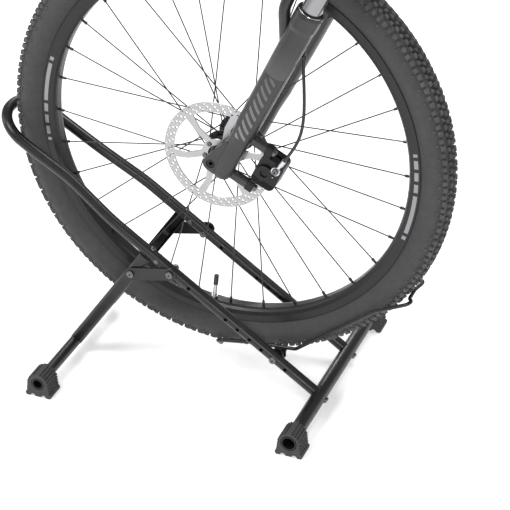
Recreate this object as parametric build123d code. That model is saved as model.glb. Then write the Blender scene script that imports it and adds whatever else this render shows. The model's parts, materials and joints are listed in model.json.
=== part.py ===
from build123d import *
from math import atan2, cos, degrees, hypot, pi, radians, sin, sqrt, tan
import os

# Bicycle front end held in a folding floor stand.
# Every length is in millimetres. The pieces are drawn about the wheel axle: +X points to
# the rear of the bicycle, +Y to its right side and +Z up. ROW then sets them on the floor. "Left" is the -Y side, which carries the brake.

# ---- wheel ----------------------------------------------------------------------------
AXLE_HEIGHT = 417.0        # wheel axle above the floor, wheel resting in the cradle
TYRE_R = 369.0             # 29 x 2.3 tyre
TYRE_W = 58.0
TYRE_WALL = 3.2
TUBE_R = 23.8              # section radius of the inflated inner tube
RIM_R = 317.5              # edge of the rim flanges
RIM_INNER_R = 297.0        # inside of the rim, where the spokes enter
RIM_W = 35.0
RIM_WALL = 1.8
BEAD_SEAT_R = 311.0
SPOKES = 32
SPOKE_D = 2.0
CROSSES = 3
NIPPLE_D = 4.0
NIPPLE_L = 14.0
VALVE_ANGLE = -95.6        # degrees from +X toward +Z, beside the lowest spoke
VALVE_D = 6.0
VALVE_L = 44.0             # from the inner face of the rim to the tip of the cap

# ---- hub ------------------------------------------------------------------------------
HUB_W = 110.0              # between the dropouts
AXLE_D = 15.0
FLANGE_HOLE_R = 27.0       # both flanges have 16 spoke holes on this radius
FLANGE_R = 31.0
FLANGE_T = 3.4
LEFT_FLANGE_Y = -23.0
RIGHT_FLANGE_Y = 33.0
HUB_BODY_R = 17.0
BEARING_R = 14.0
BEARING_W = 7.0
BEARING_Y = 38.0           # middle of each hub bearing from the wheel plane
ROTOR_R = 90.0
ROTOR_T = 1.8
ROTOR_Y = -46.0            # middle plane of the brake disc
ROTOR_BOLT_R = 22.0
ROTOR_BOLTS = 6
TRACK_W = 16.0

# ---- fork -----------------------------------------------------------------------------
FORK_TILT = 25.7           # fork axis back from vertical, degrees
LEG_OFFSET = 20.6          # leg axis behind the wheel axle, square to the fork axis
LEG_CLEAR = 2.9            # between the brake disc and the leg
STEERER_OFFSET = 44.0
STANCHION_D = 32.0
STANCHION_WALL = 1.6
STANCHION_OVERLAP = 128.0  # length of stanchion inside the lower leg, fork extended
SEAL_Z = 314.0             # top of the lower legs along the fork axis
TRAVEL = 100.0
BUMP_GAP = 18.0            # between crown and seal with the travel used up
CROWN_H = 46.0
CROWN_RACE_Z = 512.0
STEERER_D = 28.6
STEERER_BASE_D = 39.8
STEERER_WALL = 2.6
STEERER_TOP_Z = 690.0
SHAFT_D = 10.0
DROPOUT_Y = 76.0           # outer face of the dropouts

# ---- brake ----------------------------------------------------------------------------
POST_SPACING = 74.0        # between the two caliper bolts
POST_MID_Z = 33.0          # their middle along the fork axis
POST_Y = -60.0
POST_FACE_X = 62.0         # seat of the caliper behind the axle
PAD_GAP = 0.4
PAD_T = 4.4
HOSE_D = 5.0
PISTON_X = 78.0            # piston axis behind the axle
PISTON_R = 11.0
PIN_X = 91.5
EYE_X, EYE_Z = 92.0, 50.0  # banjo on the outboard face of the caliper

# ---- stand ----------------------------------------------------------------------------
RAIL_D = 18.0
RAIL_WALL = 1.5
RAIL_Y = 67.5              # rail axis from the wheel plane
PIVOT_X, PIVOT_Z = -72.6, -216.5       # bolts on which the front legs fold
BASE_X = 182.5             # rear floor tube behind the axle
BASE_D = 24.0
BASE_LEN = 413.0
FOOT_BORE_H = 25.0         # tube axis above the floor, both floor tubes
JOINT_S = -39.0            # where hoop and rail meet, along the rail from the fold bolt
HOOP_CLEAR = 5.656         # between the tread and the hoop's round end
HOOP_NARROW_S, HOOP_WIDE_S = -222.0, -128.0        # the hoop widens between these
HOOP_HALF = 55.0           # half width of the hoop's round end, to the tube axis
HOOP_BEND_R = 52.0
HOOP_DROP = 5.0            # the front of the hoop dips this much below the rail line
CRADLE_HOLES = (115.0, 140.0, 165.0, 190.0, 215.0, 240.0)
SPARE_HOLE_S = 37.5
CRADLE_S = 215.0           # the hole that carries the cradle
HOLE_D = 6.4
BOLT_D = 6.0
LINK_T = 3.0
LINK_R = 11.0
STRUT_S, STRUT_N = -48.8, -51.4        # bolt through link and strut, in rail directions
STRUT_W = 21.0
STRUT_T = 1.8
STRUT_DEPTH = 17.0
BAR_D = 19.0
BAR_LEN = 424.0
TUBE_WALL = 1.5
FOOT_W = 46.0
FOOT_DEPTH = 34.0
FOOT_TOP_R = 19.0
WIRE_D = 6.0
WIRE_Y = 38.0
BRACKET_T = 2.5
BRACKET_W = 19.0
GAP = 0.3                  # between pieces that move against each other

# ---- derived places -------------------------------------------------------------------
FLOOR_Z = -AXLE_HEIGHT
BASE_Z = FLOOR_Z + FOOT_BORE_H
RAIL_ANGLE = degrees(atan2(PIVOT_Z - BASE_Z, BASE_X - PIVOT_X))
RAIL_LEN = hypot(BASE_X - PIVOT_X, PIVOT_Z - BASE_Z)
CROWN_Z = SEAL_Z + TRAVEL + BUMP_GAP
LEG_Y = ROTOR_T / 2 - ROTOR_Y + LEG_CLEAR + STANCHION_D / 2 + 0.2  # leg axis from the wheel plane
LINK_Y = RAIL_Y + RAIL_D / 2 + GAP                  # inner face of the links
BRACKET_Y = RAIL_Y - RAIL_D / 2 - 2.2               # outer face of the cradle brackets
SIDES = {"left": -1, "right": 1}


# ---- helpers --------------------------------------------------------------------------
def rail_point(s, n=0.0):
    """(x, z) of a point s along the rail line from the fold bolt and n above it."""
    a = radians(RAIL_ANGLE)
    return PIVOT_X + s * cos(a) + n * sin(a), PIVOT_Z - s * sin(a) + n * cos(a)


def hoop_front():
    """Place along the rail line where the dipped end of the hoop clears the tread."""
    x, z = rail_point(0, -HOOP_DROP)
    along = x * cos(radians(RAIL_ANGLE)) - z * sin(radians(RAIL_ANGLE))
    reach = TYRE_R + HOOP_CLEAR + RAIL_D / 2
    return -along - sqrt(reach ** 2 - x ** 2 - z ** 2 + along ** 2)


HOOP_S = hoop_front()
HOOP_REACH = RAIL_D / 2 - rail_point(HOOP_S, -HOOP_DROP)[0]
ROW = Pos((HOOP_REACH - TYRE_R) / 2, 0, AXLE_HEIGHT)


def on_rail(y=0.0):
    """Frame with X down the rail line, Y across the stand, Z square above the rail."""
    return Pos(PIVOT_X, y, PIVOT_Z) * Rot(0, RAIL_ANGLE, 0)


def on_fork():
    """Frame about the wheel axle with Z up the fork and X behind it."""
    return Rot(0, FORK_TILT, 0)


def tube(outer_r, inner_r, length):
    """Tube along Z from the origin."""
    low = (Align.CENTER, Align.CENTER, Align.MIN)
    body = Cylinder(outer_r, length, align=low)
    return body - Cylinder(inner_r, length, align=low) if inner_r > 0 else body


def along_y(solid, x, y, z):
    """Turn a solid drawn up Z so that it points along +Y, with its foot at (x, y, z)."""
    return Pos(x, y, z) * Rot(-90, 0, 0) * solid


def across(x, z, y_from, y_to, outer_r, inner_r=0.0):
    """Round bar or tube along Y between two heights of Y."""
    return along_y(tube(outer_r, inner_r, y_to - y_from), x, y_from, z)


def lathe(points):
    """Solid turned about Y from (radius, y) points."""
    return revolve(make_face(Polyline(*points, close=True)), Axis.Y)


def hexagon(width, height):
    """Hexagonal prism up Z, measured across its flats."""
    return extrude(RegularPolygon(width / sqrt(3), 6), height)


def ring_of(solid, count, start=0.0):
    """Copies of a solid turned about the wheel axle."""
    return [Rot(0, -(start + 360 / count * i), 0) * solid for i in range(count)]


def pan_screw(shank_d, head_d, head_h, length):
    """Screw up Z: head below the origin, domed, with a hexagon socket, shank above."""
    head = Cylinder(head_d / 2, head_h, align=(Align.CENTER, Align.CENTER, Align.MAX))
    head = fillet(head.edges().group_by(Axis.Z)[0], head_h * 0.6)
    head -= Pos(0, 0, -head_h) * hexagon(shank_d * 0.55, head_h * 0.55)
    return head + tube(shank_d / 2, 0, length)


def hex_nut(shank_d, height):
    """Nut up Z for a shank along Z."""
    return hexagon(shank_d * 1.65, height) - tube(shank_d / 2 + 0.05, 0, height)


def as_list(thing):
    return list(thing) if isinstance(thing, (list, tuple)) else [thing]


NODES = {}


def add(name, *things):
    """File one or more separate solids under a node name."""
    solids = []
    for thing in things:
        for item in as_list(thing):
            solids += [ROW * s for s in item.solids()]
    NODES.setdefault(name, []).extend(solids)


# ---- wheel ----------------------------------------------------------------------------
def tyre():
    half, crown = TYRE_W / 2, TYRE_R
    mid = (crown + RIM_R) / 2 - 2
    shoulder = crown - 12
    bead_y = RIM_W / 2 - RIM_WALL - 0.3
    seat = BEAD_SEAT_R + 0.3
    t = TYRE_WALL
    right_out = ThreePointArc((RIM_R + 1, bead_y), (mid, half), (shoulder, half - 6))
    crown_out = ThreePointArc((shoulder, half - 6), (crown, 0), (shoulder, 6 - half))
    left_out = ThreePointArc((shoulder, 6 - half), (mid, -half), (RIM_R + 1, -bead_y))
    left_in = ThreePointArc((RIM_R + 1, t - bead_y), (mid, t - half), (shoulder - 2, 8.5 - half))
    crown_in = ThreePointArc((shoulder - 2, 8.5 - half), (crown - t, 0), (shoulder - 2, half - 8.5))
    right_in = ThreePointArc((shoulder - 2, half - 8.5), (mid, half - t), (RIM_R + 1, bead_y - t))
    edges = [
        right_out, crown_out, left_out,
        Polyline((RIM_R + 1, -bead_y), (seat, -bead_y), (seat, t + 0.6 - bead_y), (RIM_R + 1, t - bead_y)),
        left_in, crown_in, right_in,
        Polyline((RIM_R + 1, bead_y - t), (seat, bead_y - t - 0.6), (seat, bead_y), (RIM_R + 1, bead_y)),
    ]
    return revolve(make_face([e for edge in edges for e in edge.edges()]), Axis.Y)


def rim_hole(angle, radius, r_from, r_to):
    """Radial drill through the rim at an angle about the axle."""
    return Rot(0, -angle, 0) * Pos(r_from, 0, 0) * Rot(0, 90, 0) * tube(radius, 0, r_to - r_from)


def rim():
    w, t = RIM_W / 2, RIM_WALL
    outer = [
        (RIM_R, w), (RIM_R, w - t), (BEAD_SEAT_R, w - t), (BEAD_SEAT_R - 1, 10), (306.5, 8),
        (306.5, -8), (BEAD_SEAT_R - 1, -10), (BEAD_SEAT_R, t - w), (RIM_R, t - w), (RIM_R, -w),
        (RIM_R - 11, -w), (RIM_INNER_R + 4, 3 - w), (RIM_INNER_R + 1, 7 - w), (RIM_INNER_R, -6),
        (RIM_INNER_R, 6), (RIM_INNER_R + 1, w - 7), (RIM_INNER_R + 4, w - 3), (RIM_R - 11, w),
    ]
    chamber = [
        (304.5, 7), (307.8, 11), (RIM_R - 11, w - t), (RIM_INNER_R + 5.2, w - 5.2), (RIM_INNER_R + t, 5),
        (RIM_INNER_R + t, -5), (RIM_INNER_R + 5.2, 5.2 - w), (RIM_R - 11, t - w), (307.8, -11), (304.5, -7),
    ]
    body = lathe(outer) - lathe(chamber)
    for i in range(SPOKES):
        body -= rim_hole(360 / SPOKES * i, NIPPLE_D / 2 + 0.45, RIM_INNER_R - 1, RIM_INNER_R + 3)
        body -= rim_hole(360 / SPOKES * i, NIPPLE_D / 2 + 2, 303, 308)
    return body - rim_hole(VALVE_ANGLE, VALVE_D / 2 + 0.2, RIM_INNER_R - 1, 308)


def inner_tube():
    """Inflated tube lying inside the tyre, with its wall thickness."""
    section = Pos(TYRE_R - TYRE_WALL - GAP - TUBE_R, 0) * Circle(TUBE_R)
    section -= Pos(TYRE_R - TYRE_WALL - GAP - TUBE_R, 0) * Circle(TUBE_R - 1.0)
    return revolve(section, Axis.Y)


def valve():
    """Valve stem through the rim, its ring nut and its cap."""
    base = RIM_INNER_R - VALVE_L
    tube_in = TYRE_R - TYRE_WALL - GAP - 2 * TUBE_R
    stem = Pos(base + 16, 0, 0) * Rot(0, 90, 0) * tube(VALVE_D / 2, 0, tube_in - GAP - base - 16)
    stem += Pos(base + 5, 0, 0) * Rot(0, 90, 0) * tube(VALVE_D / 2 - 0.9, 0, 12)
    nut_r = RIM_INNER_R - 4.2
    nut = Pos(nut_r, 0, 0) * Rot(0, 90, 0) * tube(5.4, VALVE_D / 2, 4.0)
    shell = tube(VALVE_D / 2 + 0.9, VALVE_D / 2, 18) + tube(VALVE_D / 2, 0, 3.5)
    cap = Pos(base, 0, 0) * Rot(0, 90, 0) * fillet(shell.edges().group_by(Axis.Z)[0], 1.2)
    turn = Rot(0, -VALVE_ANGLE, 0)
    return turn * stem, turn * nut, turn * cap


def spoke_line(flange_y, out_side, lead):
    """Elbow and rim end of the spoke whose rim hole lies on +X."""
    hub_angle = radians(lead * CROSSES * 720 / SPOKES)
    y_hub = flange_y + out_side * (FLANGE_T / 2 + SPOKE_D / 2 + 0.4)
    elbow = Vector(FLANGE_HOLE_R * cos(hub_angle), y_hub, FLANGE_HOLE_R * sin(hub_angle))
    return elbow, Vector(RIM_INNER_R + RIM_WALL, 0, 0)


def spoke(flange_y, out_side, lead):
    """One spoke: head and elbow in the flange, straight run into the nipple."""
    start, end = spoke_line(flange_y, out_side, lead)
    rod = Plane(origin=start, z_dir=end - start) * tube(SPOKE_D / 2, 0, (end - start).length)
    inner_y = flange_y - out_side * (FLANGE_T / 2 + 1.4)
    y_low, y_high = sorted((start.Y, inner_y))
    elbow = across(start.X, start.Z, y_low, y_high, SPOKE_D / 2)
    elbow += Pos(start.X, start.Y, start.Z) * Sphere(SPOKE_D / 2)
    y_head = min(inner_y, inner_y + out_side * 1.3)
    return rod + elbow + across(start.X, start.Z, y_head, y_head + 1.3, 2.0)


def nipple(flange_y, out_side, lead):
    """Nipple in line with its spoke, its head behind the inner wall of the rim."""
    start, end = spoke_line(flange_y, out_side, lead)
    bore = SPOKE_D / 2 + 0.05
    square = Box(3.4, 3.4, 5, align=(Align.CENTER, Align.CENTER, Align.MIN))
    body = square + Pos(0, 0, 5) * tube(NIPPLE_D / 2, 0, NIPPLE_L - 7.8)
    body += Pos(0, 0, NIPPLE_L - 2.8) * tube(3.0, 0, 2.8)
    body -= tube(bore, 0, NIPPLE_L)
    along = (end - start).normalized()
    return Plane(origin=end - along * (NIPPLE_L - 3.2), z_dir=along) * body


def ring_of_spokes(shape, flange_y, start_angle):
    """A spoke or nipple for each hole of one flange: leading and trailing, heads out and in."""
    count = SPOKES // 4
    pulling = ring_of(shape(flange_y, 1, 1), count, start_angle)
    return pulling + ring_of(shape(flange_y, -1, -1), count, start_angle + 720 / SPOKES)


def hub_shell():
    lf, rf, t = LEFT_FLANGE_Y, RIGHT_FLANGE_Y, FLANGE_T / 2
    disc_y = ROTOR_Y + ROTOR_T / 2
    cap_y = BEARING_Y + BEARING_W / 2 + 1
    b, bore = BEARING_R, AXLE_D / 2 + 2.5
    points = [
        (bore, -22), (bore, 30), (b - 2, 30), (b - 2, BEARING_Y - BEARING_W / 2), (b, BEARING_Y - BEARING_W / 2),
        (b, cap_y), (b + 3, cap_y), (b + 5, rf + t + 2), (FLANGE_R - 8, rf + t), (FLANGE_R, rf + t - 0.8),
        (FLANGE_R, rf - t + 0.8), (FLANGE_R - 8, rf - t), (HUB_BODY_R + 2, rf - t - 4), (HUB_BODY_R, rf - 14),
        (HUB_BODY_R - 1, 5), (HUB_BODY_R + 2, lf + t + 4), (FLANGE_R - 8, lf + t), (FLANGE_R, lf + t - 0.8),
        (FLANGE_R, lf - t + 0.8), (FLANGE_R - 8, lf - t), (18.5, lf - t - 3), (18.5, disc_y + 7),
        (26, disc_y + 4), (26, disc_y), (b, disc_y),
        (b, BEARING_W / 2 - BEARING_Y), (b - 2, BEARING_W / 2 - BEARING_Y), (b - 2, -22),
    ]
    body = lathe(points)
    for y in (lf, rf):
        turn = 0 if y == lf else 360 / SPOKES
        hole = across(FLANGE_HOLE_R, 0, y - 3, y + 3, SPOKE_D / 2 + 0.15)
        for cut in ring_of(hole, SPOKES // 2, turn):
            body -= cut
    for cut in ring_of(across(ROTOR_BOLT_R, 0, disc_y - 1, disc_y + 9, 2.05), ROTOR_BOLTS, 10):
        body -= cut
    return body


def hub_inside():
    """Bearings, end caps with their seals, and the sleeve between them."""
    sleeve_r = AXLE_D / 2 + 1.6
    bearings, caps = [], []
    for side in (-1, 1):
        mid = side * BEARING_Y
        race = across(0, 0, mid - BEARING_W / 2, mid + BEARING_W / 2, BEARING_R, sleeve_r)
        bearings.append(race)
        y0, y1 = sorted((side * (BEARING_Y + BEARING_W / 2), side * HUB_W / 2))
        cap = across(0, 0, y0, y1, 10.4, AXLE_D / 2 + 0.1)
        lip = side * (BEARING_Y + BEARING_W / 2 + 2.2)
        cap += across(0, 0, lip - 0.6, lip + 0.6, BEARING_R - 0.6, AXLE_D / 2 + 0.1)
        caps.append(cap)
    end = BEARING_Y + BEARING_W / 2
    sleeve = across(0, 0, -end, end, sleeve_r, AXLE_D / 2 + 0.1)
    return bearings, caps, sleeve


def rotor():
    """Brake disc: drilled track, six swept arms and the bolt ring."""
    track = Circle(ROTOR_R) - Circle(ROTOR_R - TRACK_W)
    hub_ring = Circle(27.5) - Circle(17.0)
    arm = Polyline((20, -7), (52, 5), (ROTOR_R - TRACK_W + 2, 4), (ROTOR_R - TRACK_W + 2, 17),
                   (50, 15), (20, 5), close=True)
    face = track + hub_ring
    for i in range(ROTOR_BOLTS):
        face += Rot(0, 0, 60 * i) * make_face(arm)
    for i in range(ROTOR_BOLTS):
        face -= Rot(0, 0, 60 * i + 10) * Pos(ROTOR_BOLT_R, 0) * Circle(2.6)
    holes = 40
    for i in range(holes):
        for k, r in enumerate((77.5, 82.3, 87.0)):
            face -= Rot(0, 0, 360 / holes * (i + 0.33 * k)) * Pos(r, 0) * Circle(1.9 - 0.35 * (k == 2))
    plate = extrude(face, ROTOR_T)
    return Pos(0, ROTOR_Y + ROTOR_T / 2, 0) * Rot(90, 0, 0) * plate


def rotor_bolts():
    face_y = ROTOR_Y - ROTOR_T / 2
    bolt = along_y(pan_screw(4.0, 8.0, 2.2, 9.0), ROTOR_BOLT_R, face_y, 0)
    return ring_of(bolt, ROTOR_BOLTS, 10)


# ---- fork lowers ----------------------------------------------------------------------
def leg_outline():
    """(radius, height) of the outside of a lower leg, from the foot up."""
    r = STANCHION_D / 2
    return [
        (0, -14), (9, -14), (13.5, -11.5), (r - 0.4, -5), (r, 8), (r + 0.2, 60), (r + 2.6, 92), (r + 3.2, 150),
        (r + 3.9, 220), (r + 4.1, 284), (r + 5.4, 291), (r + 5.6, SEAL_Z - 2), (r + 5.0, SEAL_Z), (0, SEAL_Z),
    ]


def turned_z(points):
    """Solid turned about Z from (radius, height) points."""
    face = Plane.XZ * make_face(Polyline(*points, close=True))
    return revolve(face, Axis.Z)


def fork_lowers():
    legs = []
    for side in (-1, 1):
        leg = turned_z(leg_outline())
        legs.append(Pos(LEG_OFFSET, side * LEG_Y, 0) * leg)
    body = legs[0] + legs[1]
    arch_z = TYRE_R + 24
    bow = [(8, LEG_Y - 4, 250), (-16, LEG_Y - 5, 294), (-21, LEG_Y - 12, 346), (-27, 26, arch_z)]
    bow += [(x, -y, z) for x, y, z in reversed(bow)]
    path = FilletPolyline(*bow, radius=[40, 60, 26, 26, 60, 40])
    start = Plane(origin=path @ 0, z_dir=path % 0, x_dir=(0, 1, 0))
    body += sweep(start * Ellipse(8.0, 9.0), path=path)
    for side in (-1, 1):
        y0, y1 = sorted((side * HUB_W / 2, side * DROPOUT_Y))
        body += across(0, 0, y0, y1, 12.8)
        web = Polyline((-12.4, 3), (-4, 30), (5, 50), (24, 50), (24, -13), (6, -13), (-5, -11.8), close=True)
        body += extrude(Plane((0, y0, 0), x_dir=(1, 0, 0), z_dir=(0, -1, 0)) * make_face(web), y0 - y1)
    half = POST_SPACING / 2
    for end in (-1, 1):
        z = POST_MID_Z + end * half
        arm = Box(POST_FACE_X - LEG_OFFSET - 6, 13, 15, align=(Align.MIN, Align.CENTER, Align.CENTER))
        arm = fillet(arm.edges().filter_by(Axis.X), 4)
        body += Pos(LEG_OFFSET + 6, POST_Y, z) * arm
    bore = STANCHION_D / 2 + 0.9
    low_bore = 82.0
    for side in (-1, 1):
        place = Pos(LEG_OFFSET, side * LEG_Y, 0)
        body -= place * Pos(0, 0, low_bore) * tube(bore, 0, SEAL_Z - low_bore + 1)
        body -= place * Pos(0, 0, -4) * tube(11.0, 0, low_bore + 4)
        body -= place * Pos(0, 0, -15) * tube(4.15, 0, 14)
    body -= across(0, 0, -90, 90, AXLE_D / 2 + 0.1)
    body -= across(0, 0, -HUB_W / 2, HUB_W / 2, 12.0)
    for face_y in (-DROPOUT_Y - 20, DROPOUT_Y):
        body -= across(0, 0, face_y, face_y + 20, 12.0)
    for end in (-1, 1):
        drill = Pos(POST_FACE_X - 16, POST_Y, POST_MID_Z + end * half) * Rot(0, 90, 0) * tube(3.05, 0, 17)
        body -= drill
    return body


def fork_small():
    """Bushings, wiper seals, foot bolts and the shafts that stand on them."""
    bushings, seals, bolts, shafts = [], [], [], []
    r = STANCHION_D / 2
    for side in (-1, 1):
        place = Pos(LEG_OFFSET, side * LEG_Y, 0)
        for z in (196.0, 276.0):
            bushings.append(place * Pos(0, 0, z) * tube(r + 0.85, r + 0.05, 18))
        lip = turned_z([(r + 0.06, SEAL_Z - 8), (r + 0.85, SEAL_Z - 8), (r + 0.85, SEAL_Z), (r + 5.2, SEAL_Z),
                        (r + 5.2, SEAL_Z + 3), (r + 3.2, SEAL_Z + 5), (r + 0.06, SEAL_Z + 6.5)])
        seals.append(place * lip)
        bolt = Pos(0, 0, -14.0) * pan_screw(8.0, 15.0, 3.4, 18.0)
        bolts.append(place * bolt)
        shaft = Pos(0, 0, 4.1) * tube(SHAFT_D / 2, 0, 208)
        shaft += Pos(0, 0, -3.9) * tube(SHAFT_D / 2, 4.05, 8.1)
        piston = Pos(0, 0, 212) * tube(r - STANCHION_WALL - 0.3, 0, 12)
        shafts.append(place * (shaft + piston))
    return bushings, seals, bolts, shafts


def thru_axle():
    """Axle with a threaded left end, hexagon sockets and a flanged right head."""
    left, right = 1 - DROPOUT_Y, DROPOUT_Y
    axle = across(0, 0, left, right, AXLE_D / 2)
    axle += across(0, 0, right, right + 4, 11.0)
    axle -= along_y(hexagon(6, 9), 0, left, 0)
    axle -= along_y(hexagon(6, 9), 0, right - 5, 0)
    return axle


# ---- fork uppers ----------------------------------------------------------------------
def stanchions():
    r = STANCHION_D / 2
    low = SEAL_Z - STANCHION_OVERLAP
    pieces, heads = [], []
    for side in (-1, 1):
        place = Pos(LEG_OFFSET, side * LEG_Y, low)
        pieces.append(place * tube(r, r - STANCHION_WALL, CROWN_Z + CROWN_H - low))
        heads.append(place * tube(r - STANCHION_WALL - 0.05, SHAFT_D / 2 + 0.08, 10))
    return pieces, heads


def crown():
    r = STANCHION_D / 2
    clamp_r = r + 4.8
    body = Pos(STEERER_OFFSET, 0, CROWN_RACE_Z - 22) * tube(25.0, 0, 22)
    for side in (-1, 1):
        arm = Plane.XY * make_face(Polyline(
            (LEG_OFFSET - 17, side * (LEG_Y - 4)), (STEERER_OFFSET - 20, side * 6), (STEERER_OFFSET - 20, 0),
            (STEERER_OFFSET + 22, 0), (STEERER_OFFSET + 22, side * 10), (LEG_OFFSET + 17, side * (LEG_Y - 4)),
            close=True))
        body += Pos(0, 0, CROWN_Z) * extrude(arm, CROWN_RACE_Z - CROWN_Z)
    # The underside is arched over the tyre and the top slopes out to the clamps.
    arch_r = 60.0
    body -= Pos(-60, 0, CROWN_RACE_Z - 25 - arch_r) * Rot(0, 90, 0) * tube(arch_r, 0, 200)
    for side in (-1, 1):
        wedge = make_face(Polyline((side * 22, CROWN_RACE_Z), (side * 95, CROWN_RACE_Z + 30),
                                   (side * 95, CROWN_Z + CROWN_H), (side * 47, CROWN_Z + CROWN_H), close=True))
        body -= Pos(-60, 0, 0) * extrude(Plane.YZ * wedge, 220)
    for side in (-1, 1):
        clamp = Pos(LEG_OFFSET, side * LEG_Y, CROWN_Z)
        body += clamp * tube(clamp_r, 0, CROWN_H)
        body -= clamp * Pos(0, 0, -1) * tube(r, 0, CROWN_H + 2)
    return body - Pos(STEERER_OFFSET, 0, CROWN_RACE_Z - 60) * tube(STEERER_BASE_D / 2, 0, 62)


def steerer():
    """Tapered steerer tube, pressed through the crown."""
    top_r, base_r, w = STEERER_D / 2, STEERER_BASE_D / 2, STEERER_WALL
    low = CROWN_RACE_Z - 20
    outer = [(base_r, low), (base_r, CROWN_RACE_Z + 10), (top_r, CROWN_RACE_Z + 80), (top_r, STEERER_TOP_Z)]
    inner = [(top_r - w, STEERER_TOP_Z), (top_r - w, CROWN_RACE_Z + 80), (base_r - w, CROWN_RACE_Z + 10),
             (base_r - w, low)]
    return Pos(STEERER_OFFSET, 0, 0) * turned_z(outer + inner)


def crown_race():
    return Pos(STEERER_OFFSET, 0, CROWN_RACE_Z) * turned_z([
        (STEERER_BASE_D / 2, 0), (26.0, 0), (26.0, 1.6), (23.5, 5.0), (STEERER_BASE_D / 2, 5.0)])


def top_caps():
    """Air cap on the left leg; the knob on the right turns on its own spindle."""
    r = STANCHION_D / 2
    z = CROWN_Z + CROWN_H
    air = Pos(LEG_OFFSET, -LEG_Y, z) * (tube(r - 0.4, 0, 5) + Pos(0, 0, 5) * tube(10.5, 0, 9))
    base = Pos(LEG_OFFSET, LEG_Y, z) * (tube(r - 0.4, 0, 5) + Pos(0, 0, 5) * tube(3.0, 0, 10))
    dial = tube(13.0, 3.1, 8)
    for i in range(12):
        dial -= Rot(0, 0, 30 * i) * Pos(13.6, 0, -1) * tube(1.6, 0, 10)
    dial += Pos(8.8, 0, 6.5) * Box(10, 4, 3)
    knob = Pos(LEG_OFFSET, LEG_Y, z + 5.4) * dial
    return air, base, knob


# ---- brake ----------------------------------------------------------------------------
def caliper():
    z, half = POST_MID_Z, POST_SPACING / 2
    low_y, high_y = ROTOR_Y - 18, ROTOR_Y + 16
    span = high_y - low_y
    mid_y = (high_y + low_y) / 2
    body = Pos(82, mid_y, z) * Box(40, span, 52)
    body = fillet(body.edges().filter_by(Axis.Y), 9)
    for end in (-1, 1):
        ear = Box(12, 15, 20, align=(Align.MIN, Align.CENTER, Align.CENTER))
        ear = fillet(ear.edges().filter_by(Axis.X), 6)
        body += Pos(POST_FACE_X, POST_Y, z + end * half) * ear
        body += Pos(POST_FACE_X + 3, POST_Y + 1, z + end * (half - 10)) * Box(
            9, 10, 14, align=(Align.MIN, Align.CENTER, Align.CENTER))
    body += across(PISTON_X, z, low_y - 4, low_y + 2, 13.5)
    body += across(PISTON_X, z, high_y - 2, high_y + 4, 13.5)
    body -= Pos(0, ROTOR_Y, z) * Box(2 * (ROTOR_R + 3.5), 5.2, 90)
    body -= Pos(63, ROTOR_Y, z) * Box(66, 17.2, 34)
    body -= across(PISTON_X, z, ROTOR_Y - 15, ROTOR_Y + 15, PISTON_R + 0.2)
    body -= along_y(hexagon(12, 2.4), PISTON_X, low_y - 4, z)
    for i in range(3):
        body -= Pos(PISTON_X + 4, low_y, z - 16 - 3.2 * i) * Box(44, 3.6, 1.6)
    body -= across(PIN_X, z, low_y - 1, high_y + 1, 1.35)
    body -= across(EYE_X, EYE_Z, low_y - 5, low_y + 9.5, 3.05)
    for end in (-1, 1):
        body -= Pos(POST_FACE_X - 1, POST_Y, z + end * half) * Rot(0, 90, 0) * tube(3.2, 0, 30)
    return body


def pad_pin():
    return across(PIN_X, POST_MID_Z, ROTOR_Y - 18, ROTOR_Y + 16, 1.3)


def caliper_bolts():
    seat = POST_FACE_X + 12
    bolts = []
    for end in (-1, 1):
        bolt = pan_screw(6.0, 11.0, 5.5, 27.0)
        bolts.append(Pos(seat, POST_Y, POST_MID_Z + end * POST_SPACING / 2) * Rot(0, -90, 0) * bolt)
    return bolts


def pad_and_piston(side):
    """Pad with its backing plate and the piston behind it; side -1 is outboard."""
    face = ROTOR_Y + side * (ROTOR_T / 2 + PAD_GAP)
    joint = face + side * (PAD_T - 1.8)
    back = face + side * PAD_T
    lining = Pos(PISTON_X - 1, (face + joint) / 2, POST_MID_Z) * Box(22, PAD_T - 1.8, 28)
    plate = Pos(PISTON_X - 1, (joint + back) / 2, POST_MID_Z) * Box(23, 1.8, 32)
    plate += Pos(PIN_X - 1, (joint + back) / 2, POST_MID_Z) * Box(9, 1.8, 9)
    pad = lining + plate - across(PIN_X, POST_MID_Z, -90, 0, 1.7)
    low, high = sorted((back, back + side * 7.5))
    return pad, across(PISTON_X, POST_MID_Z, low, high, PISTON_R, PISTON_R - 3)


def hose_route():
    """Route of the brake hose in fork directions, from the banjo to its connector."""
    return [
        (95.5, -67.6, 74), (99, -67.6, 98), (97.5, -64.8, 128), (86, -60, 158), (67.5, -54, 190),
        (48.5, -47, 218.5), (35.5, -41.5, 243.5), (28, -38.2, 268), (25, -37.5, 292),
    ]


def arc_radii(points):
    """Largest arc for each corner: 0.45 of its shorter run over tan of half the turn."""
    radii = []
    for a, b, c in zip(points, points[1:], points[2:]):
        first, second = Vector(*b) - Vector(*a), Vector(*c) - Vector(*b)
        turn = radians(first.get_angle(second))
        radii.append(0.45 * min(first.length, second.length) / tan(turn / 2))
    return radii


def brake_hose():
    points = hose_route()
    radii = arc_radii(points)
    line = FilletPolyline(*points, radius=radii)
    solid = sweep(Plane(origin=line @ 0, z_dir=line % 0) * Circle(HOSE_D / 2), path=line)
    expected = pi * (HOSE_D / 2) ** 2 * line.length
    print("hose length", round(line.length, 1), "radii", [round(r) for r in radii])
    print("hose volume over section times length", round(solid.volume / expected, 4))
    return solid


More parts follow.
